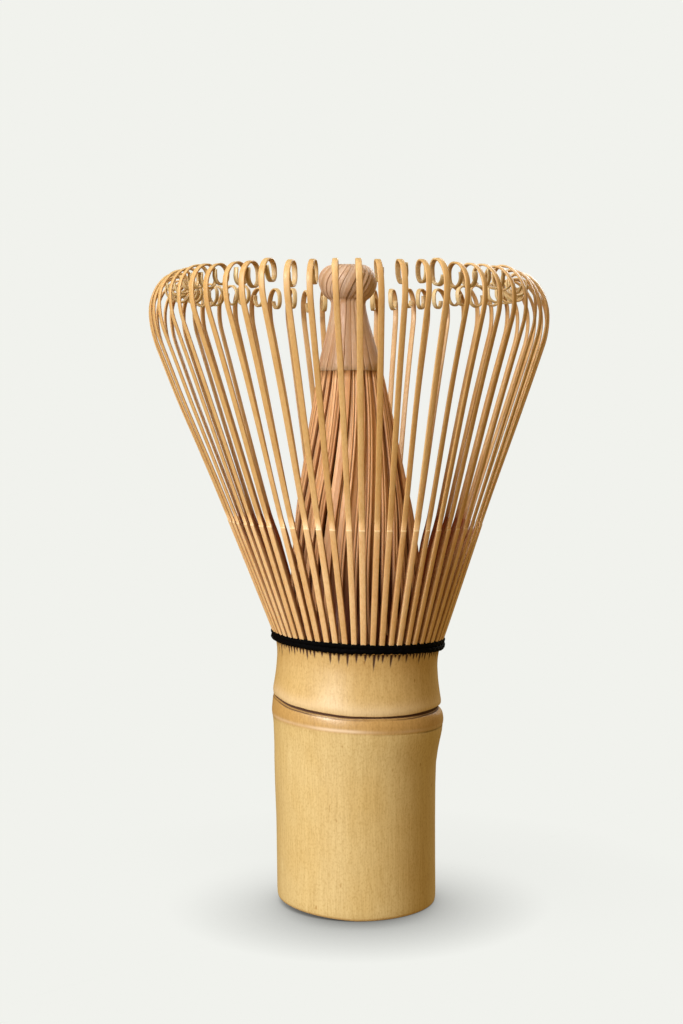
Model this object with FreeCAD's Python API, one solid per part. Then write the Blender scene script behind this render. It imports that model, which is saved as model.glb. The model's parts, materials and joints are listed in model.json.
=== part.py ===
"""Bamboo tea whisk: one culm split into an outer crown and an inner cone of tines, laced with thread.

Millimetres, +Z up. The origin is the centre of the base, on the axis of the culm.
"""
import FreeCAD, Part
import math
import os
from FreeCAD import Vector

# ---- overall layout ----
OUTER_PAIRS = 30            # pairs of outer tines around the culm
TINES_PER_PAIR = 2
INNER_GROUPS = 15           # groups of inner tines around the culm
TINES_PER_GROUP = 4

# ---- handle: a length of culm with its node just below the lacing ----
CULM_R = 13.6               # outer radius of the plain shank
BORE_R = 10.2               # hollow of the culm, open at the foot and above the node
EDGE = 0.4                  # eased edge of the foot
SHANK_TOP_Z = 18.0          # the shank is cylindrical up to here
SHOULDER_R = 13.95          # the shank widens a little towards the node
SHOULDER_Z = 25.5
RIDGE_R = 14.6              # the swollen ring of the node
RIDGE_Z = 31.9
SCAR_Z = 33.9               # sheath scar, a narrow groove round the culm
SCAR_DEPTH = 0.5
SCAR_HALF_WIDTH = 0.25
COLLAR_R = 14.45            # the collar just above and below the scar
WAIST_R = 13.65             # narrowest place of the collar
WAIST_Z = 41.2
RIM_R = 13.95               # the flared top of the collar
RIM_Z = 44.6
SEPTUM_Z = (29.0, 32.0)     # the solid wall inside the node
SLIT_WIDTH = 0.22           # splits between tines that run down into the collar
SLIT_DEPTH = 1.1
SLIT_LENGTHS = (1.5, 0.7, 1.1, 0.5, 1.3, 0.9)

# ---- lacing thread ----
THREAD_R = 0.39             # radius of the thread
WRAP_R = 14.42              # radius of the outer wraps
WRAP_Z = (44.8, 45.6)       # the two outer wraps
INNER_WRAP_R = 12.2         # wrap between the outer and the inner tines
INNER_WRAP_THREAD_R = 0.33

# ---- outer tines ----
HINGE_R = 13.2              # each pair flexes about a tangent line through its root
HINGE_Z = 45.25
ROOT_R = 0.45               # rounded root, concentric with that line
ROOT_HALF_LENGTH = 1.2
LEAN = 19.87                # outward lean of the straight part, degrees
LEAN_R = 13.95              # the centre line of a stem would meet the height of the hinge here
STEM_FOOT_Z = 46.35         # a stem starts just above the lacing
NECK_OUTER = (13.95, 46.22) # the neck between a stem and its root passes behind the lacing
NECK_INNER_Z = 46.7
STEP_Z = 65.0               # where the tine is shaved thin, from the inside
STEM_THICKNESS = 0.8
BLADE_THICKNESS = 0.4
STEM_WIDTH = 0.95
BLADE_WIDTH = 0.92
EASE_Z = 95.4               # where the tine starts to straighten up
EASE_R = 16.1
CROWN_Z = 103.0             # upright up to here
CROWN_R = 3.2               # the shoulder that turns the tine inwards
CURL_R = 1.8                # first half turn of the curl
TIP_R = 1.45                # last part of the curl
TIP_TURN = 150.0            # degrees

# ---- inner tines ----
INNER_ROOT_R = 11.2         # centre line at the root
INNER_ROOT_Z = 45.3
INNER_MIDDLE = (8.7, 74.4)  # the arc passes through this radius and height
INNER_NECK = (3.1, 102.8)
INNER_THICKNESS = 0.5
INNER_TINE_ANGLE = 5.2      # degrees of the circle that one tine fills
ROOT_BAND_THICKNESS = 1.0
ROOT_BAND_HEIGHT = 1.1
KNOB_CORE_R = 1.0           # the curled tips close up round a narrow core
KNOB_Z = (102.5, 105.5, 108.1)
KNOB_R = (3.5, 4.85)        # at the neck and at the widest place

AXIS = Vector(0, 0, 1)
ORIGIN = Vector(0, 0, 0)
SMALLEST_GAP = 0.001        # points closer than this meet


def at(radius, height):
    """A point of the side profile, in the XZ plane."""
    return Vector(radius, 0, height)


def line(start, end):
    return Part.LineSegment(start, end).toShape()


def arc(start, middle, end):
    return Part.Arc(start, middle, end).toShape()


def face_of(edges):
    return Part.Face(Part.Wire(edges))


def polygon_face(points):
    return Part.Face(Part.makePolygon([at(*p) for p in points] + [at(*points[0])]))


def spin(face, centre_angle, angle):
    """Turn a side profile about the axis, by an angle centred on a direction in degrees."""
    solid = face.revolve(ORIGIN, AXIS, angle)
    solid.rotate(ORIGIN, AXIS, centre_angle - angle / 2)
    return solid


def turned(shape, angle):
    copy = shape.copy()
    copy.rotate(ORIGIN, AXIS, angle)
    return copy


def torus(radius, height, thread_radius):
    return Part.makeTorus(radius, thread_radius, Vector(0, 0, height), AXIS)


# ---- handle ----

def slits():
    """Short splits that run from the rim of the collar down between the tines."""
    count = OUTER_PAIRS * TINES_PER_PAIR
    cutters = []
    for i in range(count):
        length = SLIT_LENGTHS[i % len(SLIT_LENGTHS)]
        corner = Vector(RIM_R - SLIT_DEPTH, -SLIT_WIDTH / 2, RIM_Z - length)
        box = Part.makeBox(2 * SLIT_DEPTH, SLIT_WIDTH, 2 * length, corner)
        cutters.append(turned(box, 360 * i / count))
    return Part.makeCompound(cutters)


def culm_handle():
    outline = [
        (BORE_R, 0),
        (CULM_R - EDGE, 0),
        (CULM_R, EDGE),
        (CULM_R, SHANK_TOP_Z),
        (SHOULDER_R, SHOULDER_Z),
        (RIDGE_R, RIDGE_Z),
        (COLLAR_R, SCAR_Z - SCAR_HALF_WIDTH),
        (COLLAR_R - SCAR_DEPTH, SCAR_Z),
        (COLLAR_R, SCAR_Z + SCAR_HALF_WIDTH),
        (WAIST_R, WAIST_Z),
        (RIM_R, RIM_Z),
        (BORE_R, RIM_Z),
        (BORE_R, SEPTUM_Z[1]),
        (0, SEPTUM_Z[1]),
        (0, SEPTUM_Z[0]),
        (BORE_R, SEPTUM_Z[0]),
    ]
    return polygon_face(outline).revolve(ORIGIN, AXIS, 360).cut(slits())


# ---- outer tines ----

def outer_arcs():
    """The curved part of a blade's centre line, from where it straightens up to its tip.

    An arc is (centre radius, centre height, radius, start angle, end angle), in degrees.
    """
    lean = math.radians(LEAN)
    ease = leaning(EASE_Z, (STEM_THICKNESS - BLADE_THICKNESS) / 2)
    ease_centre = (ease.x - EASE_R * math.cos(lean), ease.z + EASE_R * math.sin(lean))
    crown = (ease_centre[0] + EASE_R - CROWN_R, CROWN_Z)
    curl = (crown[0], crown[1] + CROWN_R - CURL_R)
    tip = (crown[0], curl[1] - CURL_R + TIP_R)
    return [
        (*ease_centre, EASE_R, -LEAN, 0),
        (*crown, CROWN_R, 0, 90),
        (*curl, CURL_R, 90, 270),
        (*tip, TIP_R, 270, 270 + TIP_TURN),
    ]


def on_arc(centre_r, centre_z, radius, angle):
    a = math.radians(angle)
    return at(centre_r + radius * math.cos(a), centre_z + radius * math.sin(a))


def arc_edge(piece, offset):
    """The edge of a strip that lies an offset outside the centre line of one arc."""
    centre_r, centre_z, radius, start, end = piece
    r = radius + offset
    angles = (start, (start + end) / 2, end)
    return arc(*[on_arc(centre_r, centre_z, r, a) for a in angles])


def leaning(height, offset):
    """A point of the straight part at a height along the centre line, moved out square to it."""
    lean = math.radians(LEAN)
    radius = LEAN_R + (height - HINGE_Z) * math.tan(lean)
    return at(radius + offset * math.cos(lean), height - offset * math.sin(lean))


def plank(face, width):
    """Extrude a side profile to a width, centred on its own plane."""
    solid = face.extrude(Vector(0, width, 0))
    solid.translate(Vector(0, -width / 2, 0))
    return solid


def stem():
    """The thick lower part of a tine, with the neck that joins it to its root."""
    half = STEM_THICKNESS / 2
    corners = [
        at(HINGE_R + ROOT_R, HINGE_Z),
        at(*NECK_OUTER),
        leaning(STEM_FOOT_Z, half),
        leaning(STEP_Z, half),
        leaning(STEP_Z, -half),
        leaning(NECK_INNER_Z, -half),
        at(HINGE_R - ROOT_R, HINGE_Z),
    ]
    return plank(Part.Face(Part.makePolygon(corners + corners[:1])), STEM_WIDTH)


def blade_edge(start, offset):
    """One long edge of a blade: its arcs, with straight lines where they don't meet."""
    edges = []
    here = start
    for piece in outer_arcs():
        bend = arc_edge(piece, offset)
        if here.distanceToPoint(bend.firstVertex().Point) > SMALLEST_GAP:
            edges.append(line(here, bend.firstVertex().Point))
        edges.append(bend)
        here = bend.lastVertex().Point
    return edges


def blade():
    """The thin upper part of a tine. Its outer face carries on from the stem's."""
    skin = STEM_THICKNESS / 2
    foot = [leaning(STEP_Z, skin), leaning(STEP_Z, skin - BLADE_THICKNESS)]
    back = blade_edge(foot[0], BLADE_THICKNESS / 2)
    front = blade_edge(foot[1], -BLADE_THICKNESS / 2)
    tip = line(back[-1].lastVertex().Point, front[-1].lastVertex().Point)
    return plank(face_of([line(*foot), *back, tip, *front[::-1]]), BLADE_WIDTH)


def outer_pair():
    """Two tines on one rounded root, centred on the +X direction."""
    root = Part.makeCylinder(
        ROOT_R,
        2 * ROOT_HALF_LENGTH,
        Vector(HINGE_R, -ROOT_HALF_LENGTH, HINGE_Z),
        Vector(0, 1, 0),
    )
    tine = stem().fuse(blade())
    pitch = 360 / (OUTER_PAIRS * TINES_PER_PAIR)
    sides = [turned(tine, pitch * (i - (TINES_PER_PAIR - 1) / 2)) for i in range(TINES_PER_PAIR)]
    return root.fuse(sides).removeSplitter()


# ---- inner tines ----

def inner_strip():
    """The side profile of one inner tine, an arc of even thickness from root to neck."""
    points = [(INNER_ROOT_R, INNER_ROOT_Z), INNER_MIDDLE, INNER_NECK]
    centre = arc(*[at(*p) for p in points]).Curve.Center
    half = INNER_THICKNESS / 2
    edges = []
    for offset in (half, -half):
        moved = []
        for p in points:
            outward = at(*p) - centre
            outward.normalize()
            moved.append(at(*p) + outward * offset)
        edges.append(arc(*moved))
    outside, inside = edges
    foot = line(outside.firstVertex().Point, inside.firstVertex().Point)
    top = line(outside.lastVertex().Point, inside.lastVertex().Point)
    return face_of([foot, outside, top, inside])


def root_band():
    half = ROOT_BAND_THICKNESS / 2
    low = INNER_ROOT_Z
    high = INNER_ROOT_Z + ROOT_BAND_HEIGHT
    r = INNER_ROOT_R
    return polygon_face([(r - half, low), (r + half, low), (r + half, high), (r - half, high)])


def knob_profile():
    """The curled tips of the inner tines, gathered into a small round head."""
    low, middle, high = KNOB_Z
    neck_r, wide_r = KNOB_R
    return face_of([
        line(at(KNOB_CORE_R, low), at(neck_r, low)),
        arc(at(neck_r, low), at(wide_r, middle), at(KNOB_CORE_R, high)),
        line(at(KNOB_CORE_R, high), at(KNOB_CORE_R, low)),
    ])


def inner_group():
    """Four inner tines with their share of the root band and of the head, centred on +X."""
    angle = 360 / INNER_GROUPS
    pitch = angle / TINES_PER_GROUP
    strip = inner_strip()
    group = spin(root_band(), 0, angle)
    pieces = [spin(knob_profile(), 0, angle)]
    for i in range(TINES_PER_GROUP):
        pieces.append(spin(strip, pitch * (i - (TINES_PER_GROUP - 1) / 2), INNER_TINE_ANGLE))
    return group.fuse(pieces)


# ---- all the sub-parts ----

def sub_parts():
    parts = {
        "culm_handle": culm_handle(),
        "lacing_outer_lower": torus(WRAP_R, WRAP_Z[0], THREAD_R),
        "lacing_outer_upper": torus(WRAP_R, WRAP_Z[1], THREAD_R),
        "lacing_inner": torus(INNER_WRAP_R, RIM_Z + INNER_WRAP_THREAD_R, INNER_WRAP_THREAD_R),
    }
    pair = outer_pair()
    for i in range(OUTER_PAIRS):
        parts[f"outer_pair_{i + 1:02d}"] = turned(pair, 360 * i / OUTER_PAIRS)
    group = inner_group()
    for i in range(INNER_GROUPS):
        parts[f"inner_tines_{i + 1:02d}"] = turned(group, 360 * i / INNER_GROUPS)
    return parts


os.makedirs("parts", exist_ok=True)
for name, shape in sub_parts().items():
    shape.exportStep(f"parts/{name}.step")
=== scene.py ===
"""A bamboo tea whisk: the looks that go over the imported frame.

Metres, +Z up, origin at the centre of the foot. Angles round the axis are in radians from +X.
"""
import json
import math
import random

import bpy
import numpy as np
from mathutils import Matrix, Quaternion, Vector


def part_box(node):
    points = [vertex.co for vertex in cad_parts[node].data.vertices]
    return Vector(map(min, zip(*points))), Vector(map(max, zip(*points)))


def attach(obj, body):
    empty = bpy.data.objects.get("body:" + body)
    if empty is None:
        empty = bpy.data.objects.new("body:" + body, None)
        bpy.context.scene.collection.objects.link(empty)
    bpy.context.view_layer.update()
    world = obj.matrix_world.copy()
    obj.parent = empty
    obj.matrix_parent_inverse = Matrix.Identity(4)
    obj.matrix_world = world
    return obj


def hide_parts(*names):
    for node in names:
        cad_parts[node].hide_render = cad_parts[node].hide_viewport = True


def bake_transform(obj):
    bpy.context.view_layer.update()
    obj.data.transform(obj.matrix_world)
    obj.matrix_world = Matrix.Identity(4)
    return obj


MM = 0.001
TURN = 2 * math.pi
UP = np.array([0, 0, 1.0])
random.seed(7)

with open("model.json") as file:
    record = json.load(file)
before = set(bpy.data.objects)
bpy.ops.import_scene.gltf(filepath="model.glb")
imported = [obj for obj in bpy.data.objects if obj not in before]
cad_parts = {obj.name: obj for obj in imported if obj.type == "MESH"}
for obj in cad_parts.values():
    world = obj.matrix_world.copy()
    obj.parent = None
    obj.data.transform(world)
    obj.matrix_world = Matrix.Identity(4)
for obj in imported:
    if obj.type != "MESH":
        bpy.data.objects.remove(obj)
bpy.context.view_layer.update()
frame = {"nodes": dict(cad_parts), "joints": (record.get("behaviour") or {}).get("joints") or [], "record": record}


# ---- places read from the frame ----

def joints_of(prefix):
    return [j for j in frame["joints"] if j["child"].startswith(prefix)]


def round_mount(name):
    """Radius and length of a round mount, in metres."""
    dims = next(m["dims"] for m in frame["record"]["mounts"] if m["name"] == name)
    return dims["r_mm"] * MM, dims["length_mm"] * MM


CULM_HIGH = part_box("culm_handle")[1]
RIM_Z = CULM_HIGH.z
SHANK_R = round_mount("handle_shank")[0]
BORE_R, BORE_TOP = round_mount("handle_bore")
PAIR_JOINTS = joints_of("pair_")
HINGE_Z = PAIR_JOINTS[0]["pos_m"][2]
CROWN_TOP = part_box("outer_pair_01")[1].z
KNOB_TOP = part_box("inner_tines_01")[1].z
INNER_ROOT_Z = joints_of("inner_cone")[0]["pos_m"][2]

# ---- sizes of the details ----
TINES = 2 * len(PAIR_JOINTS)
PITCH = TURN / TINES
SCAR_Z = 33.9 * MM              # the sheath scar, a dark groove round the node
RIDGE_LINE_Z = 31.15 * MM       # a faint broken line under the crest of the node
CULM_RIM_R = 14.05 * MM         # the culm's outer edge, under the thread
SEPTUM = 3 * MM                 # thickness of the wall across the inside of the node
CLOSED_R = 0.0001 * MM          # radius of a ring that closes up on the axis
LEAN = math.radians(19.87)      # outward lean of the outer tines
SKIN_R = 14.37 * MM             # radius of their outer faces at the height of the hinges
STEP_Z = 65.0 * MM              # outer tines are shaved thin above this height
EASE_Z = 95.4 * MM              # and start to straighten up here
STEM = (0.98 * MM, 0.80 * MM)   # width and thickness below the step
BLADE = (0.96 * MM, 0.32 * MM)   # and above it
STEP_DEPTH = 0.09 * MM
TINE_BEVEL = 0.13 * MM          # rounding of the outer tines' corners
INNER_STEP_Z = 90.4 * MM        # inner tines are shaved thin above this height
INNER_THICKNESS = (0.62 * MM, 0.25 * MM)   # below their step and above it
INNER_BEVEL = 0.11 * MM
GROOVE_HALF = 0.10 * MM         # half the width of the grooves in some inner tines
CROWN_TWIST = -0.016            # radians that the crown has turned
CONE_TWIST = math.radians(24)   # how far the inner tines turn round the axis up to their step
KNOB_TWIST = math.radians(48)   # and how far their heads turn after that

# The real whisk isn't quite true: it bends a little at the node and at the lacing, both of which
# slope down towards +X. Heights in mm, sideways shift in mm, and drop per mm of x.
SETTLED = np.array([
    (0, 0.0, 0.0), (14, -0.05, 0.0), (20, -0.12, 0.0), (24, -0.1, 0.02), (27, 0.1, 0.038),
    (30, 0.35, 0.05), (32, 0.35, 0.053), (36, 0.2, 0.053), (41, 0.3, 0.054), (45, 0.45, 0.056),
    (48, 0.4, 0.052), (65, -0.04, 0.024), (85, -0.56, 0.0), (109, -1.18, 0.004),
])
FOOT_LIFT = 0.9 * MM            # the foot is cut a little aslant, higher at -X
FOOT_SLANT = 9 * MM             # height over which that fades out

CAMERA_SEAT = (-2.28 * MM, -272 * MM, 83.5 * MM)
CAMERA_LENS = 56.4              # in mm, on a sensor 36 mm wide
CAMERA_TILT = math.radians(3.57)    # below the horizon
CAMERA_ROLL = math.radians(-0.25)
LIT_HEIGHT = 60 * MM            # the lights face the axis at this height


# ---- mesh helpers ----

def settled(points):
    """Points of the ideal whisk moved to where they are on this one."""
    x, z = points[..., 0], points[..., 2]
    height, shift, drop = SETTLED.T
    moved = points.copy()
    moved[..., 0] = x + np.interp(z / MM, height, shift) * MM
    lift = FOOT_LIFT * np.clip(-x / SHANK_R, 0, 1) * np.clip(1 - z / FOOT_SLANT, 0, 1)
    moved[..., 2] = z - np.interp(z / MM, height, drop) * x + lift
    return moved


def smooth(t):
    t = np.clip(t, 0, 1)
    return t * t * (3 - 2 * t)


def bell(x, width):
    return np.exp(-(x / width) ** 2)


def ripple(x, seed, octaves=3):
    """A smooth seeded wave of about unit height that closes up over a full turn of x."""
    rng = random.Random(seed)
    total = np.zeros_like(x)
    for k in range(octaves):
        for _ in range(3):
            total += np.cos(rng.randint(1, 4) * 2 ** k * x + rng.uniform(0, TURN)) / 2 ** k
    return total / 3


def grid_faces(rows, columns, wrap):
    """Quads of a grid whose columns close up into a tube if wrap is true."""
    across = columns if wrap else columns - 1
    i, j = np.meshgrid(np.arange(rows - 1), np.arange(across), indexing="ij")
    k = (j + 1) % columns
    a, b = i * columns + j, i * columns + k
    return np.stack([a, b, b + columns, a + columns], axis=-1).reshape(-1, 4).tolist()


def directions(turn):
    """Unit vectors away from the axis and round it, at the angles given."""
    level = 0 * turn
    away = np.stack([np.cos(turn), np.sin(turn), level], axis=-1)
    around = np.stack([-np.sin(turn), np.cos(turn), level], axis=-1)
    return away, around


def unit(vectors):
    return vectors / np.linalg.norm(vectors, axis=-1, keepdims=True)


def rolled(sideways, outwards, angle):
    """The two directions of a cross-section turned about the tine's own line."""
    c, s = np.cos(angle)[:, None], np.sin(angle)[:, None]
    return sideways * c - outwards * s, outwards * c + sideways * s


class Builder:
    """Gathers tubes and grids of the ideal whisk into one mesh, with float attributes."""

    def __init__(self):
        self.points, self.faces, self.values = [], [], {}
        self.count = 0

    def add(self, points, faces, **values):
        self.points.append(points)
        self.faces += [[v + self.count for v in face] for face in faces]
        for name, value in values.items():
            self.values.setdefault(name, []).append(np.broadcast_to(value, len(points)).astype(np.float32))
        self.count += len(points)

    def tube(self, rings, **values):
        """A closed tube: rings has the shape (stations, points round, 3)."""
        stations, around = rings.shape[:2]
        faces = grid_faces(stations, around, wrap=True)
        last = (stations - 1) * around
        faces.append(list(range(around))[::-1])
        faces.append([last + k for k in range(around)])
        flat = {name: np.broadcast_to(v, (stations, around)).ravel() for name, v in values.items()}
        self.add(rings.reshape(-1, 3), faces, **flat)

    def object(self, name, material):
        mesh = bpy.data.meshes.new(name)
        points = settled(np.concatenate(self.points))
        mesh.from_pydata(points.tolist(), [], self.faces)
        for attribute, parts in self.values.items():
            layer = mesh.attributes.new(attribute, "FLOAT", "POINT")
            layer.data.foreach_set("value", np.concatenate(parts))
        mesh.materials.append(material)
        mesh.shade_smooth()
        made = bpy.data.objects.new(name, mesh)
        bpy.context.scene.collection.objects.link(made)
        return made


def rounded_section(width, outside, inside, bevel):
    """Corners of a tine's cross-section as (sideways, outwards), with each corner rounded.

    width, outside and inside are arrays with one value per station.
    """
    half = width / 2
    bevel = np.minimum(bevel, 0.45 * (outside + inside))
    points = []
    for side, top in ((1, 1), (-1, 1), (-1, -1), (1, -1)):
        height = outside if top > 0 else inside
        steps = [(0.0, 1.0), (0.3, 0.3), (1.0, 0.0)]
        if side * top < 0:
            steps = steps[::-1]
        for a, b in steps:
            points.append((side * (half - a * bevel), top * (height - b * bevel)))
    return points


def grooved_section(section, width, outside, place, depth):
    """The section with a narrow groove let into its outer face, at a place from -0.5 to 0.5."""
    middle = width * place
    top = [(middle + k * GROOVE_HALF, outside - (depth if k == 0 else 0)) for k in (1, 0, -1)]
    return section[:3] + top + section[3:]


def sweep(centres, sideways, outwards, section):
    """Rings of a tube along centres, from a section and two unit vectors at each station."""
    rings = [centres + sideways * a[:, None] + outwards * b[:, None] for a, b in section]
    return np.stack(rings, axis=1)


# how much each corner of a rounded section belongs to the outer face; the rest takes the side colour, which on the
# stems is painted shade between the tines
OUTER_FACE = np.array([0.55, 0.95, 1.0, 1.0, 0.95, 0.55, 0.15, 0.0, 0.0, 0.0, 0.0, 0.15])
# and the same with a groove, whose bottom is as dark as the sides: painted shade in the groove
GROOVED_FACE = np.insert(OUTER_FACE, 3, [1.0, 0.0, 1.0])


# ---- material helpers ----

def srgb(red, green, blue):
    """A colour from 0 to 255 as the linear RGBA that shaders take."""
    shares = [c / 255 for c in (red, green, blue)]
    return (*[c / 12.92 if c <= 0.04 else ((c + 0.055) / 1.055) ** 2.4 for c in shares], 1.0)


class Nodes:
    """A material's node tree, with short ways to add and link nodes."""

    def __init__(self, name):
        self.material = bpy.data.materials.new(name)
        self.material.use_nodes = True
        self.tree = self.material.node_tree
        self.shader = self.tree.nodes["Principled BSDF"]
        self.place = self.node("ShaderNodeTexCoord").outputs["Object"]

    def node(self, kind, inputs=(), **settings):
        made = self.tree.nodes.new(kind)
        for key, value in settings.items():
            setattr(made, key, value)
        for key, value in dict(inputs).items():
            self.put(made.inputs[key], value)
        return made

    def put(self, socket, value):
        if isinstance(value, bpy.types.NodeSocket):
            self.tree.links.new(value, socket)
        else:
            socket.default_value = value

    def attribute(self, name):
        return self.node("ShaderNodeAttribute", attribute_name=name).outputs["Fac"]

    def stretched(self, x, y, z):
        return self.node("ShaderNodeMapping", {"Vector": self.place, "Scale": (x, y, z)}).outputs["Vector"]

    def noise(self, vector, scale, detail=3.0, roughness=0.55):
        inputs = {"Vector": vector, "Scale": scale, "Detail": detail, "Roughness": roughness}
        return self.node("ShaderNodeTexNoise", inputs).outputs["Fac"]

    def remap(self, value, low, high, to_low=0.0, to_high=1.0):
        inputs = {"Value": value, "From Min": low, "From Max": high, "To Min": to_low, "To Max": to_high}
        return self.node("ShaderNodeMapRange", inputs).outputs["Result"]

    def mix(self, factor, first, second):
        made = self.node("ShaderNodeMix", data_type="RGBA", clamp_factor=True)
        self.put(made.inputs["Factor"], factor)
        self.put(made.inputs[6], first)
        self.put(made.inputs[7], second)
        return made.outputs[2]

    def tint(self, factor, colour, filtering):
        """Multiply a colour by another, by a factor from 0 to 1."""
        made = self.node("ShaderNodeMix", data_type="RGBA", blend_type="MULTIPLY", clamp_factor=True)
        self.put(made.inputs["Factor"], factor)
        self.put(made.inputs[6], colour)
        self.put(made.inputs[7], (*filtering, 1))
        return made.outputs[2]

    def math(self, operation, first, second):
        made = self.node("ShaderNodeMath", operation=operation)
        self.put(made.inputs[0], first)
        self.put(made.inputs[1], second)
        return made.outputs[0]

    def bump(self, height, strength, distance):
        inputs = {"Height": height, "Strength": strength, "Distance": distance}
        self.put(self.shader.inputs["Normal"], self.node("ShaderNodeBump", inputs).outputs["Normal"])


# ---- materials ----

def culm_material():
    """Dried bamboo skin: fine upright fibres, soft blotches, a few flecks, a dark scar and dots, painted shade in
    the splits and under the thread, and a painted highlight and sheen at the node.
    """
    n = Nodes("bamboo_culm")
    fibres = n.noise(n.stretched(1, 1, 0.06), 5200, 3)
    streaks = n.noise(n.stretched(1, 1, 0.035), 1000, 2)
    blotches = n.noise(n.stretched(1, 1, 0.6), 130, 3)
    speckle = n.noise(n.stretched(1, 1, 0.7), 3400, 2)
    flecks = n.noise(n.stretched(1, 1, 0.4), 1250, 1)
    band = n.attribute("band")
    colour = n.mix(n.remap(band, 0, 1), srgb(229, 206, 151), srgb(217, 184, 124))
    colour = n.mix(n.remap(band, 1, 2), colour, srgb(202, 163, 103))
    colour = n.tint(n.remap(streaks, 0.35, 0.65), colour, (0.93, 0.91, 0.87))
    colour = n.tint(n.remap(blotches, 0.40, 0.68), colour, (0.95, 0.91, 0.82))
    colour = n.tint(n.remap(fibres, 0.42, 0.66), colour, (0.89, 0.86, 0.80))
    colour = n.tint(n.remap(speckle, 0.47, 0.70), colour, (0.86, 0.81, 0.72))
    colour = n.tint(n.remap(flecks, 0.75, 0.80), colour, (0.70, 0.58, 0.45))
    # painted highlight on the crest and painted sheen on the lip over the scar
    colour = n.mix(n.attribute("painted_highlight"), colour, srgb(246, 222, 192))
    # the dark colour: the scar and the dots, which are dark of their own, plus painted shade in the splits and
    # under the thread, and the half-dark hollow
    colour = n.mix(n.attribute("marks_and_shade"), colour, srgb(66, 32, 10))
    colour = n.mix(n.attribute("cut"), colour, srgb(206, 166, 108))
    n.put(n.shader.inputs["Base Color"], colour)
    rough = n.remap(fibres, 0.3, 0.7, 0.34, 0.46)
    n.put(n.shader.inputs["Roughness"], n.math("MAXIMUM", rough, n.attribute("marks_and_shade")))
    n.shader.inputs["Specular IOR Level"].default_value = 1.0
    grain = n.math("ADD", fibres, n.math("MULTIPLY", speckle, 0.7))
    n.bump(grain, 0.35, 0.00005)
    return n.material


def tine_material(name, stem, stem_side_and_shade, blade, blade_side, tip, tip_side, light_edge, shade, roughness):
    """Split bamboo: the outer face is light in colour and the split sides are darker, with fibres along it. The
    stems' sides are dark enough to be painted shade in the gaps between tines, and the line at each step is a
    painted highlight.
    """
    n = Nodes(name)
    along = n.attribute("along")
    face = n.attribute("face")
    fibres = n.noise(n.stretched(1, 1, 0.05), 4200, 3)
    mottle = n.noise(n.stretched(1, 1, 0.25), 420, 2)
    side = n.mix(n.remap(along, 0, 1), stem_side_and_shade, blade_side)
    side = n.mix(n.remap(along, 1, 2), side, tip_side)
    skin = n.mix(n.remap(along, 0, 1), stem, blade)
    skin = n.mix(n.remap(along, 1, 2), skin, tip)
    # the split sides keep their own darker colour on the blades; on the stems it is so dark that it is painted
    # shade between the tines
    colour = n.mix(face, side, skin)
    colour = n.tint(n.remap(mottle, 0.40, 0.65), colour, (0.93, 0.89, 0.82))
    colour = n.tint(n.remap(fibres, 0.42, 0.68), colour, (0.90, 0.85, 0.76))
    colour = n.tint(n.attribute("shade"), colour, shade)
    # a painted highlight on the step, where its ledge catches the light
    colour = n.mix(n.attribute("edge"), colour, light_edge)
    n.put(n.shader.inputs["Base Color"], colour)
    n.put(n.shader.inputs["Roughness"], n.remap(fibres, 0.3, 0.7, roughness - 0.07, roughness + 0.08))
    n.shader.inputs["Specular IOR Level"].default_value = 0.5
    n.shader.inputs["Subsurface Weight"].default_value = 0.2
    n.shader.inputs["Subsurface Radius"].default_value = (1.0, 0.7, 0.4)
    n.shader.inputs["Subsurface Scale"].default_value = 0.0006
    n.bump(fibres, 0.3, 0.00004)
    return n.material


def thread_material():
    """Waxed black thread, with the fine twist of its fibres."""
    n = Nodes("thread_black")
    fuzz = n.noise(n.place, 6000, 4)
    wear = n.noise(n.place, 700, 2)
    colour = n.mix(n.remap(fuzz, 0.35, 0.7), srgb(1, 1, 2), srgb(4, 4, 7))
    colour = n.mix(n.remap(wear, 0.55, 0.8, 0, 0.4), colour, srgb(8, 8, 12))
    n.put(n.shader.inputs["Base Color"], colour)
    n.put(n.shader.inputs["Roughness"], n.remap(fuzz, 0.3, 0.7, 0.7, 0.9))
    n.shader.inputs["Specular IOR Level"].default_value = 0.05
    n.bump(fuzz, 0.6, 0.00008)
    return n.material


# ---- the culm ----

# heights and radii of the culm's outside, in mm, without the scar
CULM_SHAPE = np.array([
    (0.0, 13.52), (1.0, 13.6), (14.0, 13.64), (20.0, 13.76), (24.0, 13.86), (26.5, 14.02), (28.2, 14.20),
    (29.6, 14.38), (30.6, 14.48), (31.2, 14.54), (31.7, 14.68), (32.2, 14.68), (32.9, 14.60), (33.5, 14.50),
    (34.3, 14.40), (34.9, 14.44), (35.8, 14.32), (37.2, 14.08), (39.0, 13.84), (41.2, 13.68), (42.6, 13.72),
    (43.6, 13.86), (44.2, 14.0), (44.6, 14.1),
])

# how much higher the scar is, in mm, at degrees from the front
SCAR_RISE = np.array([
    (-180, 0.4), (-110, 1.0), (-90, 1.1), (-69, 0.95), (-51, 0.46), (-33, 0.20), (-5, 0.0), (22, 0.05),
    (37, 0.2), (58, 0.4), (90, 0.5), (180, 0.4),
])

# how much browner the culm is coloured above the node, at heights in mm, rising towards the thread
COLLAR_TONE = np.array([(33.9, 0), (35.2, 0.3), (36.5, 0.65), (40, 0.7), (43, 1), (44.6, 1.2)])


def from_front(turn):
    """Angle from the front, which is -Y, from -pi to pi."""
    return (turn + 1.5 * math.pi) % TURN - math.pi


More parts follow.
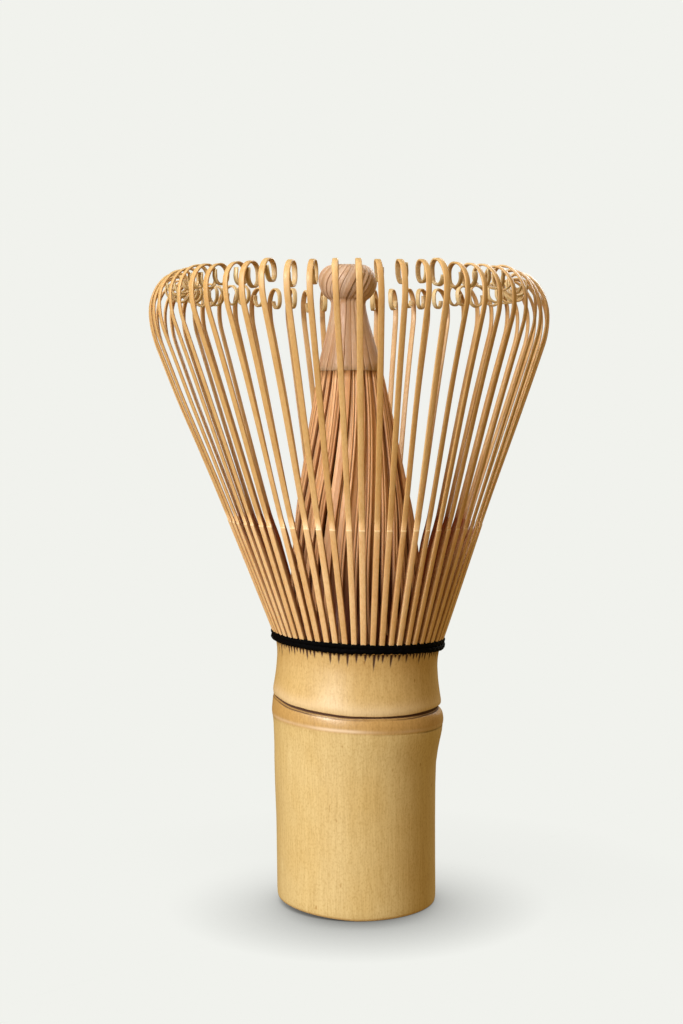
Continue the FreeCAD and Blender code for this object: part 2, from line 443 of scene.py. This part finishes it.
def culm_radius(z):
    """The culm's outside at heights z, with the corners of its outline softened."""
    height, radius = CULM_SHAPE.T
    spread = np.array([-0.5, -0.25, 0, 0.25, 0.5])
    soft = sum(np.interp(z / MM + d, height, radius) for d in spread) / len(spread)
    sharp = np.interp(z / MM, height, radius)
    between_ends = smooth((z / MM - 1) / 2) * smooth(44.3 - z / MM)
    return (sharp + (soft - sharp) * between_ends) * MM


def culm_rows():
    """Heights of the rings of the outer wall, closer together where the culm has detail."""
    spans = [
        (0.5, 20, 22), (20.8, 30.2, 18), (30.4, 33.3, 24),
        (33.35, 35.3, 44), (35.5, 41.5, 16), (41.7, 44.6, 26),
    ]
    return np.concatenate([np.linspace(low, high, count) for low, high, count in spans]) * MM


SPLIT_PART = 0.24               # splits lie this share of the pitch to each side of every tine
SPLIT_DEPTH = 0.07 * MM


def culm_columns():
    """Directions of the columns, closer together at the splits between the tines."""
    steps = np.array([-0.17, -0.10, -0.04, 0, 0.04, 0.10, 0.17])
    part = np.concatenate([[-0.44], steps - SPLIT_PART, [0], steps + SPLIT_PART, [0.44]])
    return (np.arange(TINES)[:, None] + part[None, :]).ravel() * PITCH, np.tile(part, TINES)


def split_shapes(part):
    """For each column, how long its split is and how far it lies from the split's middle."""
    lengths = []
    for _ in range(TINES):
        long_one = random.random() < 0.25
        lengths.append(random.uniform(2.0, 3.2) if long_one else random.uniform(1.1, 2.1))
        lengths.append(random.uniform(0.4, 1.3))
    right = (part > 0).astype(int)
    owner = np.repeat(np.arange(TINES), len(part) // TINES) * 2 + right
    length = np.array(lengths)[owner] * MM
    return length, np.abs(np.abs(part) - SPLIT_PART)


def culm_wall(columns, part):
    """The outside of the culm as a grid of points, with its painted attributes."""
    z, turn = np.meshgrid(culm_rows(), columns, indexing="ij")
    radius = culm_radius(z) + 0.04 * MM * ripple(columns, 14, 2) * smooth(z / (10 * MM))

    # the scar: a groove in a shallow hollow, with a notch at +X and a thinner groove under it
    degrees, rise = SCAR_RISE.T
    rise = np.interp(np.degrees(from_front(columns)), degrees, rise)
    scar_z = SCAR_Z + (rise + 0.07 * ripple(columns, 11, 8)) * MM
    scar_half = (0.23 + 0.08 * ripple(columns, 12, 8) + 0.08 * bell(np.cos(columns) - 1, 0.25)) * MM
    above_scar = z - scar_z
    scar = np.clip(1.15 - np.abs(above_scar) / scar_half, 0, 1)
    radius -= 0.30 * MM * np.sqrt(scar) + 0.14 * MM * bell(above_scar, 0.55 * MM)
    at_plus_x = np.clip(np.cos(columns), 0, 1) ** 8
    radius -= 0.45 * MM * bell(above_scar + 0.5 * MM, 0.5 * MM) * at_plus_x
    twin = bell(above_scar + 0.42 * MM + 0.06 * MM * ripple(columns, 19, 8), 0.12 * MM)
    twin = twin * np.clip(1.0 + 0.9 * ripple(columns, 18, 7), 0.3, 1)
    radius -= 0.08 * MM * twin

    # the faint broken line under the crest of the node
    line_z = RIDGE_LINE_Z + 0.06 * MM * ripple(columns, 13, 5)
    line = bell(z - line_z, 0.13 * MM) * np.clip(0.55 + 0.6 * ripple(columns, 20, 5), 0.15, 1)
    radius -= 0.07 * MM * line

    # the splits, which widen upwards
    length, off_middle = split_shapes(part)
    opening = np.clip((z - (RIM_Z - 0.25 * MM - length)) / length, 0, 1)
    gape = np.clip(1.25 - off_middle / (0.04 + 0.16 * opening), 0, 1) * (opening > 0)
    radius -= SPLIT_DEPTH * gape * smooth(opening * 2)

    # what is painted dark: the scar's grooves and the dots along the line, which are dark of their own, then
    # painted shade inside the splits and a painted shadow of the thread on the rim under it
    dots = np.clip(1.8 * ripple(columns, 15, 7) + 0.1, 0, 1)
    seam = np.clip(scar * 1.6, 0, 1)
    marks_and_shade = np.maximum(seam, np.maximum(0.7 * line * dots, 0.95 * twin))
    # painted shade inside the splits
    marks_and_shade = np.maximum(marks_and_shade, np.clip(gape * 1.7, 0, 1) * smooth(0.2 + opening * 2))
    # painted shadow of the thread on the rim just under it
    thread_shadow = 0.9 * smooth((z - RIM_Z + 0.4 * MM) / (0.25 * MM))
    marks_and_shade = np.maximum(marks_and_shade, thread_shadow)

    # what is browner: the ring between the line and the scar, and the collar above it
    ring = smooth((z - line_z + 0.1 * MM) / (0.5 * MM)) * (1 - smooth(above_scar / (0.5 * MM)))
    height, tone = COLLAR_TONE.T
    collar = np.interp(z, height * MM, tone)
    band = ring * 1.7 + collar + 0.15 * ripple(columns, 16, 4) * (ring + collar)

    # painted light: a painted highlight along the crest, strongest a little left of the front where the key light
    # falls, and a painted sheen on the lip over the scar
    crest_share = 0.2 + 1.1 * np.clip(1 - np.abs(from_front(columns) + 0.25) / 0.6, 0, 1)
    crest_share = np.clip(crest_share + 0.3 * ripple(columns, 17, 4), 0, 1)
    crest = bell(z - line_z - 0.5 * MM, 0.28 * MM) * crest_share
    lip = bell(above_scar - 0.9 * MM, 1.2 * MM) * (above_scar > 0) * 0.34

    values = {"marks_and_shade": marks_and_shade, "band": np.clip(band, 0, 2), "painted_highlight": crest + lip, "cut": 0 * z}
    return np.stack([radius * np.cos(turn), radius * np.sin(turn), z], axis=-1), values


def build_culm(material):
    """The culm as one closed skin: the bore and the foot, the outer wall, and the hollow above the node."""
    columns, part = culm_columns()
    away = directions(columns)[0]

    def ring(r, height, cut=1.0, dark=0.0):
        values = {"marks_and_shade": dark, "band": 0.0, "painted_highlight": 0.0, "cut": cut}
        grids = {k: np.full((1, len(columns)), v) for k, v in values.items()}
        return (away * r + UP * height)[None], grids

    foot = [
        ring(CLOSED_R, BORE_TOP),
        ring(BORE_R * 0.6, BORE_TOP + 0.4 * MM),
        ring(BORE_R - 0.8 * MM, BORE_TOP),
        ring(BORE_R, BORE_TOP - 0.9 * MM),
        ring(BORE_R, 14 * MM),
        ring(BORE_R, 0.3 * MM),
        ring(BORE_R + 0.25 * MM, 0.02 * MM),
        ring(BORE_R + 1.5 * MM, 0.0),
        ring(SHANK_R - 0.30 * MM, 0.0),
        ring(SHANK_R - 0.13 * MM, 0.10 * MM, 0.7),
    ]
    septum_top = BORE_TOP + SEPTUM
    # the rim under the thread is painted dark as the thread's shadow; the inside of the hollow is painted half
    # dark
    head = [
        ring(CULM_RIM_R, RIM_Z + 0.3 * MM, 0.0, 1.0),
        ring(SHANK_R - 0.2 * MM, RIM_Z + 0.2 * MM, 1.0, 0.7),
        ring(BORE_R + 0.6 * MM, RIM_Z, 1.0, 0.5),
        ring(BORE_R, RIM_Z - 0.4 * MM, 1.0, 0.5),
        ring(BORE_R, septum_top + 1 * MM, 1.0, 0.5),
        ring(BORE_R - 1 * MM, septum_top, 1.0, 0.5),
        ring(CLOSED_R, septum_top - 0.3 * MM, 1.0, 0.5),
    ]
    grids = [*foot, culm_wall(columns, part), *head]
    points = np.concatenate([g[0] for g in grids])
    flat = {k: np.concatenate([g[1][k] for g in grids]).ravel() for k in ("marks_and_shade", "band", "painted_highlight", "cut")}
    builder = Builder()
    builder.add(points.reshape(-1, 3), grid_faces(len(points), len(columns), wrap=True), **flat)
    culm = builder.object("culm", material)
    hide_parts("culm_handle")
    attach(culm, "handle")


# ---- the lacing ----

def build_wrap(name, node, material, seed, tall, waves):
    """One wrap of thread, pressed into a slight wave by the tines.

    tall is its height as a share of its thickness, and waves is how much it waves.
    """
    low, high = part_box(node)
    thread_r = (high.z - low.z) / 2
    stations, sides = TINES * 12, 14
    turn = np.linspace(0, TURN, stations, endpoint=False)
    ripples = 0.05 * np.cos(TINES * turn + seed) + 0.16 * ripple(turn, seed, 5)
    middle_z = (high.z + low.z) / 2 + waves * ripples * MM
    middle_r = high.x - thread_r + waves * 0.04 * MM * np.cos(TINES * turn + seed)
    round_it = np.linspace(0, TURN, sides, endpoint=False)
    twist = 1 + 0.05 * np.cos(3 * round_it[None, :] + 2 * TINES * turn[:, None])
    r = middle_r[:, None] + thread_r * np.cos(round_it) * twist
    z = middle_z[:, None] + tall * thread_r * np.sin(round_it) * twist
    points = np.stack([r * np.cos(turn)[:, None], r * np.sin(turn)[:, None], z], axis=-1)
    count = stations * sides
    faces = [[v % count for v in face] for face in grid_faces(stations + 1, sides, wrap=True)]
    builder = Builder()
    builder.add(points.reshape(-1, 3), faces)
    wrap = builder.object(name, material)
    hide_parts(node)
    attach(wrap, "handle")


# ---- outer tines ----

def outer_profile(lean, side, shoulder, curl_r, hang, tip_turn, tip):
    """The outer face of a tine, found by walking up it and turning.

    side is 1 for a tine at the far left or right, whose shoulder is wider, and 0 at the front and
    back. Each stretch is (length, turn, steps). It returns rows of (radius, height, heading).
    """
    below = 0.95 * MM
    stem = (STEP_Z - HINGE_Z) / math.cos(lean)
    straight = (EASE_Z - STEP_Z) / math.cos(lean)
    wide_turn, tight_turn = math.radians(48), math.radians(42)
    wide_r, tight_r = shoulder * (3.5 + 4.5 * side) * MM, shoulder * (2.9 + 0.8 * side) * MM
    stretches = [
        (below + stem - 0.25 * MM, 0, 14),                  # the stem
        (0.25 * MM, 0, 1),                                  # its last bit, which carries a painted highlight where the ledge of the step catches the light
        (0.03 * MM, 0, 1),                                  # the step
        (straight + 2.6 * (1 - side) * MM, 0, 16),          # the blade
        ((8 + 8 * side) * MM * lean, -lean, 8),             # until it is upright
        (0.6 * (1 - side) * MM, 0, 2),
        (wide_r * wide_turn, -wide_turn, 7),                # the shoulder
        (tight_r * tight_turn, -tight_turn, 6),             # until it points inwards
        (curl_r * math.pi / 2, -math.pi / 2, 9),            # until it points down
        (hang, 0, 2),
        (1.08 * curl_r * math.pi / 2, -math.pi / 2, 8),     # until it points outwards
        (curl_r * tip_turn, -tip_turn, 8),                  # and about upwards again
        (tip, 0, 2),
    ]
    r, z, heading = SKIN_R - below * math.sin(lean), HINGE_Z - below * math.cos(lean), lean
    line = [(r, z, heading)]
    for length, turn, steps in stretches:
        for _ in range(steps):
            middle = heading + turn / steps / 2
            r += length / steps * math.sin(middle)
            z += length / steps * math.cos(middle)
            heading += turn / steps
            line.append((r, z, heading))
    return np.array(line)


LAST_OF_STEM = 15               # the station just under the step


def outer_tine(builder, angle):
    """Add one outer tine, in its own slightly different shape, at an angle round the axis."""
    lean = LEAN + math.radians(random.gauss(0, 0.15))
    side = math.cos(angle) ** 4
    shoulder = 1 + random.gauss(0, 0.05)
    curl_r = random.uniform(1.5, 1.75) * MM
    hang = random.uniform(0.2, 0.7) * MM
    tip_turn = math.radians(random.uniform(60, 105))
    line = outer_profile(lean, side, shoulder, curl_r, hang, tip_turn, random.uniform(0.3, 1.3) * MM)
    r, z, heading = line.T
    climb = np.clip((z - HINGE_Z) / (CROWN_TOP - HINGE_Z), 0, 1)
    top = CROWN_TOP + (0.02 - 0.22 * side + random.gauss(0, 0.12)) * MM
    z = z + (top - z.max()) * smooth((z - STEP_Z - 0.5 * MM) / (25 * MM))
    curled = np.clip((math.radians(-20) - heading) / math.pi, 0, 2)
    turn = angle + (CROWN_TWIST + random.gauss(0, 0.009)) * climb + random.gauss(0, 0.004)
    bow = random.gauss(0, 0.22) * MM * np.sin(math.pi * climb)
    side_drift = random.gauss(0, 0.16) * MM * curled
    away, around = directions(turn)
    centres = away * r[:, None] + UP * z[:, None] + around * (bow + side_drift)[:, None]
    outwards = away * np.cos(heading)[:, None] - UP * np.sin(heading)[:, None]

    above = (np.arange(len(z)) > LAST_OF_STEM).astype(float)
    curling = np.clip(curled, 0, 1)
    width = (STEM[0] * (1 - above) + BLADE[0] * above) * (1 - 0.16 * curling) * random.uniform(0.93, 1.07)
    width = width * (1 - 0.06 * smooth((52 * MM - z) / (6 * MM)))
    outside = STEP_DEPTH * (1 - above) + 0.02 * MM * above
    thinned = smooth((z - STEP_Z + 5 * MM) / (5 * MM))
    inside = STEM[1] + (BLADE[1] - STEM[1]) * thinned
    roll = random.gauss(0, 0.07) * climb + random.gauss(0, 0.07) * curled
    sideways, out = rolled(around, outwards, roll)
    rings = sweep(centres, sideways, out, rounded_section(width, outside, inside, TINE_BEVEL))

    along = np.interp(z, [STEP_Z, STEP_Z + 0.1 * MM, 78 * MM], [0, 0.6, 1]) + curling
    # painted highlight: the top of the stem, just under the step, is made lighter where the ledge catches the
    # light
    edge = 0.8 * bell(np.minimum(STEP_Z + 0.02 * MM - z, 1 * MM), 0.22 * MM) * (1 - above)
    builder.tube(
        rings,
        along=along[:, None],
        face=OUTER_FACE[None, :],
        shade=random.random(),
        edge=edge[:, None] * (OUTER_FACE > 0.9)[None, :],
    )


def build_outer_pair(joint, material):
    x, y, z = joint["pos_m"]
    middle = math.atan2(y, x)
    builder = Builder()
    for side in (-0.5, 0.5):
        outer_tine(builder, middle + side * PITCH)
    number = joint["child"].split("_")[1]
    pair = builder.object(f"tines_outer_{number}", material)
    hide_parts(f"outer_pair_{number}")
    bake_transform(pair)


# ---- inner tines ----

# the outer face of an inner tine from its root, up the cone, over the head and down inside it
INNER_SHAPE = np.array([
    (11.5, 44.8), (11.42, 49.3), (11.1, 56.3), (10.55, 62), (9.9, 67), (8.95, 72), (7.75, 78.5), (6.8, 84),
    (5.62, 90.4), (4.45, 94.8), (3.5, 98.3), (2.95, 101.1), (3.05, 102.2), (3.75, 102.8), (4.5, 103.8),
    (4.86, 105.3), (4.62, 106.6), (3.85, 107.6), (2.8, 108.05), (1.8, 107.95), (1.05, 107.4), (0.7, 106.4),
    (0.65, 105.2),
]) * MM
STEP_KNOT = 8                   # which of these points is at the step
NECK_KNOT = 11                  # and which at the neck


def curve_through(points, steps):
    """Points along a smooth curve through the given ones, steps between each two."""
    padded = np.concatenate([[2 * points[0] - points[1]], points, [2 * points[-1] - points[-2]]])
    t = np.linspace(0, 1, steps, endpoint=False)[:, None]
    out = []
    for a, b, c, d in zip(padded, padded[1:], padded[2:], padded[3:]):
        bent = (2 * a - 5 * b + 4 * c - d) * t ** 2 + (3 * b - a - 3 * c + d) * t ** 3
        out.append(0.5 * (2 * b + (c - a) * t + bent))
    return np.concatenate(out + [points[-1:]])


def inner_line():
    """Radius, height and heading along an inner tine, with two stations at its step.

    It also returns the step's station and each station's place past the neck.
    """
    steps = 4
    line = curve_through(INNER_SHAPE, steps)
    slope = np.gradient(line, axis=0)
    heading = np.unwrap(np.arctan2(slope[:, 0], slope[:, 1]))
    step = steps * STEP_KNOT
    order = np.insert(np.arange(len(line)), step, step)
    return line[order, 0], line[order, 1], heading[order], step, order - steps * NECK_KNOT


def inner_tine(builder, angle, layer):
    """Add one inner tine. Layer 0 is in front, and layer 1 lies deeper and is wider below."""
    r, z, heading, step, past_neck = inner_line()
    stem = (np.arange(len(z)) <= step).astype(float)
    knob = smooth(past_neck / 6)
    climb = np.clip((z - INNER_ROOT_Z) / (KNOB_TOP - INNER_ROOT_Z), 0, 1)
    cone = np.clip((z - INNER_ROOT_Z) / (INNER_STEP_Z - INNER_ROOT_Z), 0, 1)

    stem_sunk = layer * (0.80 - 0.25 * cone) * smooth((z - 46 * MM) / (6 * MM))
    stem_sunk = stem_sunk + random.uniform(0, 0.2) * cone
    blade_sunk = layer * 0.12 + 0.10 * random.random()
    r = r - stem_sunk * stem * MM - blade_sunk * (1 - stem) * (r > 1.5 * MM) * MM
    r = r - 0.10 * MM * stem * smooth((z - 80 * MM) / (9 * MM))
    sway = random.gauss(0, 0.10 if layer else 0.28) * MM * np.sin(math.pi * cone) * stem
    twirl = CONE_TWIST * smooth((z - 50 * MM) / (46 * MM)) + KNOB_TWIST * smooth(past_neck / 30)
    stray_low = random.gauss(0, 0.008 if layer else 0.03)
    stray_high = random.gauss(0, 0.03)
    turn = angle + twirl + stray_low * (1 - climb) + stray_high * climb
    away, around = directions(turn)
    centres = away * r[:, None] + UP * z[:, None] + around * sway[:, None]
    tangent = unit(np.gradient(centres, axis=0))
    flat_out = away * np.cos(heading)[:, None] - UP * np.sin(heading)[:, None]
    sideways = unit(np.cross(flat_out, tangent))
    outwards = np.cross(tangent, sideways)
    creased = 0.25 + 0.75 * max(0, math.cos(angle + 0.9))
    roll = random.gauss(0, 0.10) * stem + (random.uniform(0.0, 0.12) + 0.2 * creased * knob) * (1 - stem)
    side, out = rolled(sideways, outwards, roll)
    stem_width = 0.86 - 0.04 * cone + layer * (1.1 - 0.75 * cone)
    blade_width = 1.06 - 0.16 * knob
    width = np.where(stem > 0, stem_width, blade_width) * MM * random.uniform(0.92, 1.08)
    width = np.minimum(width, np.maximum(r * 1.2, 0.35 * MM))
    inside = np.where(stem > 0, *INNER_THICKNESS)
    outside = 0.02 * MM + 0 * z
    section = rounded_section(width, outside, inside, INNER_BEVEL)
    groove = random.choice((0.0, 0.3, 0.35, 0.4)) * MM * stem
    section = grooved_section(section, width, outside, random.uniform(-0.2, 0.2), groove)
    rings = sweep(centres, side, out, section)
    along = np.where(stem > 0, 0.0, 1.0) + knob
    # painted highlight just above the step, where the ledge catches the light
    edge = 0.6 * bell(np.arange(len(z)) - step - 1, 0.6)
    # painted shade: low down, the inner tines take the dark side colour, the deeper layer almost wholly, as shade
    # under the outer tines
    lit_low = 0.04 if layer else 0.75
    lit = lit_low + (1 - lit_low) * smooth((z - 50 * MM) / (22 * MM))
    face = np.where(groove[:, None] > 0, GROOVED_FACE, np.where(GROOVED_FACE > 0, GROOVED_FACE, 1))
    builder.tube(
        rings,
        along=along[:, None],
        face=face * lit[:, None],
        shade=random.random(),
        edge=edge[:, None] * (GROOVED_FACE > 0.9)[None, :],
    )


def build_inner_group(number, total, material):
    builder = Builder()
    share = TURN / total
    count = TINES // total
    for i in range(count):
        angle = share * (number - 1) + share / count * (i - (count - 1) / 2)
        inner_tine(builder, angle, layer=i % 2)
    group = builder.object(f"tines_inner_{number:02d}", material)
    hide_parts(f"inner_tines_{number:02d}")
    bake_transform(group)


# ---- stage, light and camera ----

BACKDROP = srgb(241, 242, 237)
BOUNCE = (0.31, 0.20, 0.065, 1)   # the dim warm glow that fills the shadows


def glowing(tree, seen_kind, seen_colour):
    """A shader that shows one colour to the camera and gives the object only the dim glow."""
    seen = tree.nodes.new(seen_kind)
    if isinstance(seen_colour, bpy.types.NodeSocket):
        tree.links.new(seen_colour, seen.inputs["Color"])
    else:
        seen.inputs["Color"].default_value = seen_colour
    dim = tree.nodes.new(seen_kind)
    dim.inputs["Color"].default_value = BOUNCE
    path = tree.nodes.new("ShaderNodeLightPath")
    mix = tree.nodes.new("ShaderNodeMixShader")
    tree.links.new(path.outputs["Is Camera Ray"], mix.inputs[0])
    tree.links.new(dim.outputs[0], mix.inputs[1])
    tree.links.new(seen.outputs[0], mix.inputs[2])
    return mix.outputs[0]


def build_floor():
    """A flat floor of the backdrop's colour, even in brightness, with a painted contact shadow close round the
    foot.
    """
    mesh = bpy.data.meshes.new("floor")
    size = 6.0
    corners = [(-size, -size, 0), (size, -size, 0), (size, size, 0), (-size, size, 0)]
    mesh.from_pydata(corners, [], [(0, 1, 2, 3)])
    floor = bpy.data.objects.new("floor", mesh)
    bpy.context.scene.collection.objects.link(floor)
    n = Nodes("pale_floor")

    def occlusion(distance, leaning):
        """How open the floor is towards a leaning direction, within a distance."""
        x, y, z = Vector(leaning).normalized()
        normal = n.node("ShaderNodeCombineXYZ", {"X": x, "Y": y, "Z": z}).outputs["Vector"]
        inputs = {"Distance": distance, "Normal": normal}
        return n.node("ShaderNodeAmbientOcclusion", inputs, samples=24).outputs["AO"]

    # painted contact shadow: the floor's colour darkens where occlusion is high, most to the front and to the back
    # right
    soft = occlusion(0.020, (-0.12, 0.6, 1))
    close = n.remap(occlusion(0.0075, (0, 1, 0.2)), 0, 0.7, 0.32, 1)
    behind = n.remap(occlusion(0.05, (-0.6, -1, 0.3)), 0, 1, 0.80, 1)
    colour = n.mix(n.math("MULTIPLY", n.math("MULTIPLY", soft, close), behind), srgb(30, 22, 12), BACKDROP)
    n.put(n.tree.nodes["Material Output"].inputs["Surface"], glowing(n.tree, "ShaderNodeEmission", colour))
    mesh.materials.append(n.material)


def build_world():
    world = bpy.data.worlds.new("studio")
    bpy.context.scene.world = world
    world.use_nodes = True
    surface = glowing(world.node_tree, "ShaderNodeBackground", BACKDROP)
    world.node_tree.links.new(surface, world.node_tree.nodes["World Output"].inputs["Surface"])


def soft_light(name, azimuth, elevation, distance, size, power, colour):
    """A square light that faces the whisk. Azimuth 0 is the camera's side, and 90 is +X."""
    light = bpy.data.lights.new(name, "AREA")
    light.size = size
    light.energy = power
    light.color = colour
    lamp = bpy.data.objects.new(name, light)
    a, e = math.radians(azimuth), math.radians(elevation)
    away = Vector((math.sin(a) * math.cos(e), -math.cos(a) * math.cos(e), math.sin(e)))
    lamp.location = Vector((0, 0, LIT_HEIGHT)) + away * distance
    lamp.rotation_euler = away.to_track_quat("Z", "Y").to_euler()
    bpy.context.scene.collection.objects.link(lamp)


def build_lights():
    """A key light from the left in front, two weak ones beside and above it, and one behind."""
    soft_light("key", -41, 26, 0.60, 0.22, 3.65, (1.0, 0.99, 0.97))
    soft_light("strip", -27, 6, 0.60, 0.16, 0.45, (1.0, 0.99, 0.96))
    soft_light("top", -20, 78, 0.60, 0.30, 0.9, (1.0, 0.98, 0.95))
    soft_light("back", 150, 30, 0.60, 0.30, 1.7, (1.0, 0.99, 0.97))


def build_camera():
    camera = bpy.data.cameras.new("camera")
    camera.lens = CAMERA_LENS
    camera.sensor_width = 36
    seat = bpy.data.objects.new("camera", camera)
    seat.location = CAMERA_SEAT
    seat.rotation_mode = "QUATERNION"
    aim = Quaternion((1, 0, 0), math.pi / 2 - CAMERA_TILT)
    seat.rotation_quaternion = aim @ Quaternion((0, 0, 1), CAMERA_ROLL)
    camera.clip_start, camera.clip_end = 0.01, 20
    bpy.context.scene.collection.objects.link(seat)
    bpy.context.scene.camera = seat


# ---- the whole scene ----

build_camera()
build_world()
build_lights()
build_floor()
bpy.context.scene.view_settings.view_transform = "Standard"

build_culm(culm_material())
black = thread_material()
build_wrap("lacing_low", "lacing_outer_lower", black, 21, 1.25, 1.0)
build_wrap("lacing_high", "lacing_outer_upper", black, 22, 1.25, 1.0)
build_wrap("lacing_between", "lacing_inner", black, 23, 1.0, 0.3)

outer_wood = tine_material(
    "bamboo_outer",
    # the stems' very dark sides are painted shade between the tines
    stem=srgb(250, 214, 166), stem_side_and_shade=srgb(128, 56, 4),
    blade=srgb(222, 187, 132), blade_side=srgb(210, 174, 126),
    tip=srgb(222, 205, 162), tip_side=srgb(214, 190, 146),
    light_edge=srgb(252, 226, 184), shade=(0.86, 0.80, 0.70), roughness=0.42,
)
for pair_joint in PAIR_JOINTS:
    build_outer_pair(pair_joint, outer_wood)

inner_wood = tine_material(
    "bamboo_inner",
    # the stems' very dark sides are painted shade between the tines
    stem=srgb(250, 200, 152), stem_side_and_shade=srgb(98, 34, 1),
    blade=srgb(208, 172, 144), blade_side=srgb(182, 138, 104),
    tip=srgb(212, 182, 160), tip_side=srgb(176, 134, 106),
    light_edge=srgb(240, 206, 172), shade=(0.72, 0.63, 0.52), roughness=0.46,
)
GROUPS = sorted(name for name in frame["nodes"] if name.startswith("inner_tines_"))
for group_number in range(1, len(GROUPS) + 1):
    build_inner_group(group_number, len(GROUPS), inner_wood)
